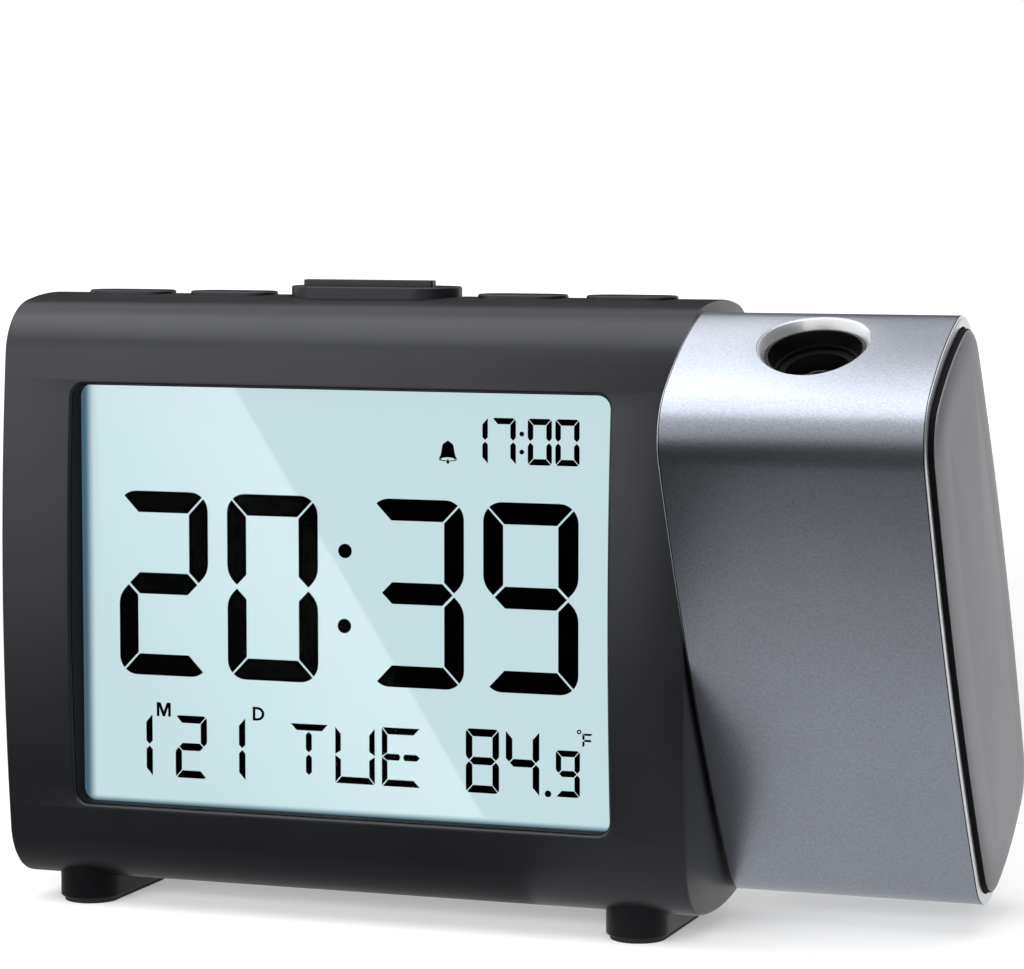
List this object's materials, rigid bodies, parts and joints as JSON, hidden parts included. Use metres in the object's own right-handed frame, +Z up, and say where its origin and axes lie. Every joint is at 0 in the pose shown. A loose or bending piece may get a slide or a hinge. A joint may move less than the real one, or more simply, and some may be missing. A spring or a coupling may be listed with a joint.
{
  "type": "projection alarm clock",
  "caption": "Bedside alarm clock with a tube-like body, a large display, top keys and bar feet; its projector end swivels about the long axis and has a focus wheel.",
  "frame": {"origin": "on the table, below the middle of the whole clock", "axes": "+X along the body to the projector end, +Y to the back, +Z up; the display faces -Y"},
  "size_m": [0.154, 0.0694, 0.0997],
  "materials": {
    "housing": "fine satin black moulding",
    "back": "fine matt black moulding",
    "keys": "satin black",
    "lens": "clear, polished",
    "screen": "lit liquid crystal glass",
    "frame": "black",
    "guide": "clear acrylic",
    "led_white": "white and yellow phosphor",
    "zebra": "striped silicone",
    "board": "green solder mask",
    "screw": "zinc plated",
    "chip": "black epoxy",
    "can": "tinned can",
    "capacitor": "blue sleeve",
    "ribbon": "amber film",
    "contact": "nickel plated",
    "cell": "plain jacket",
    "connector": "ivory nylon",
    "wire": "red insulation",
    "foot": "matt black",
    "sole": "black rubber",
    "bush": "natural acetal",
    "washer": "dark fibre",
    "spring_steel": "spring steel",
    "sleeve": "satin anodised",
    "inner": "black",
    "optic": "clear acrylic",
    "slide": "small liquid crystal glass",
    "led_red": "red epoxy",
    "sink": "bare extrusion",
    "cap": "satin grey"
  },
  "bodies": {
    "body": {"main_housing": "housing", "rear_cover": "back", "battery_cells": "cell", "battery_contacts": "contact", "cover_screws": "screw", "display_lens": "lens", "lcd_glass": "screen", "lcd_frame": "frame", "light_guide": "guide", "backlight_leds": "led_white", "zebra_strips": "zebra", "main_board": "board", "board_screws": "screw", "clock_chip": "chip", "crystal": "can", "capacitors": "capacitor", "buzzer": "chip", "key_board": "board", "key_switches": "chip", "key_board_screws": "screw", "key_ribbon": "ribbon", "power_board": "board", "power_board_screws": "screw", "power_inlet": "can", "charging_port": "can", "temperature_sensor": "chip", "wire_plug": "connector", "wire_harness": "wire", "foot_left": "foot", "foot_right": "foot", "foot_soles": "sole", "pivot_bush": "bush", "friction_washer": "washer"},
    "battery_door": {"battery_door": "back"},
    "set_button": {"set_button": "keys"},
    "alarm_button": {"alarm_button": "keys"},
    "snooze_bar": {"snooze_bar": "keys"},
    "minus_button": {"minus_button": "keys"},
    "plus_button": {"plus_button": "keys"},
    "projector": {"projector_sleeve": "sleeve", "inboard_plate": "inner", "pivot_hub": "inner", "hub_screws": "screw", "wave_washer": "spring_steel", "retaining_ring": "spring_steel", "projector_chassis": "inner", "chassis_screws": "screw", "lens_bezel": "inner", "projection_lcd": "slide", "condenser_lens": "optic", "projector_led": "led_red", "led_board": "board", "led_heat_sink": "sink", "led_leads": "wire", "cap_base": "inner", "cap_screws": "screw", "end_cap": "cap"},
    "focus_barrel": {"focus_barrel": "inner", "objective_lens": "optic"},
    "focus_wheel": {"focus_wheel": "keys"}
  },
  "joints": [
    {"name": "projector_swivel", "type": "hinge", "parent": "body", "child": "projector", "pos_m": [0.0357, 0, 0.0503], "axis": [1, 0, 0], "range_deg": [-119.6, 60.4]},
    {"name": "battery_door_hinge", "type": "hinge", "parent": "body", "child": "battery_door", "pos_m": [-0.03485, 0.01761, 0.02662], "axis": [-1, 0, 0], "range_deg": [0, 80]},
    {"name": "set_button_press", "type": "slide", "parent": "body", "child": "set_button", "axis": [0, 0, -1], "range_m": [0, 0.0004], "stiffness_N_per_m": 1000, "springref_m": -0.0008},
    {"name": "alarm_button_press", "type": "slide", "parent": "body", "child": "alarm_button", "axis": [0, 0, -1], "range_m": [0, 0.0004], "stiffness_N_per_m": 1000, "springref_m": -0.0008},
    {"name": "snooze_bar_press", "type": "slide", "parent": "body", "child": "snooze_bar", "axis": [0, 0, -1], "range_m": [0, 0.0008], "stiffness_N_per_m": 1000, "springref_m": -0.0008},
    {"name": "minus_button_press", "type": "slide", "parent": "body", "child": "minus_button", "axis": [0, 0, -1], "range_m": [0, 0.0004], "stiffness_N_per_m": 1000, "springref_m": -0.0008},
    {"name": "plus_button_press", "type": "slide", "parent": "body", "child": "plus_button", "axis": [0, 0, -1], "range_m": [0, 0.0004], "stiffness_N_per_m": 1000, "springref_m": -0.0008},
    {"name": "focus_wheel_turn", "type": "hinge", "parent": "projector", "child": "focus_wheel", "pos_m": [0.05535, -0.00261, 0.08263], "axis": [1, 0, 0], "range_deg": [-34, 34]},
    {"name": "focus_slide", "type": "slide", "parent": "projector", "child": "focus_barrel", "axis": [0, -0.4939, 0.8695], "range_m": [-0.0014, 0.0014]}
  ],
  "couplings": [
    {"joint": "focus_wheel_turn", "follows": "focus_slide", "rad_per_m": -416.67}
  ]
}
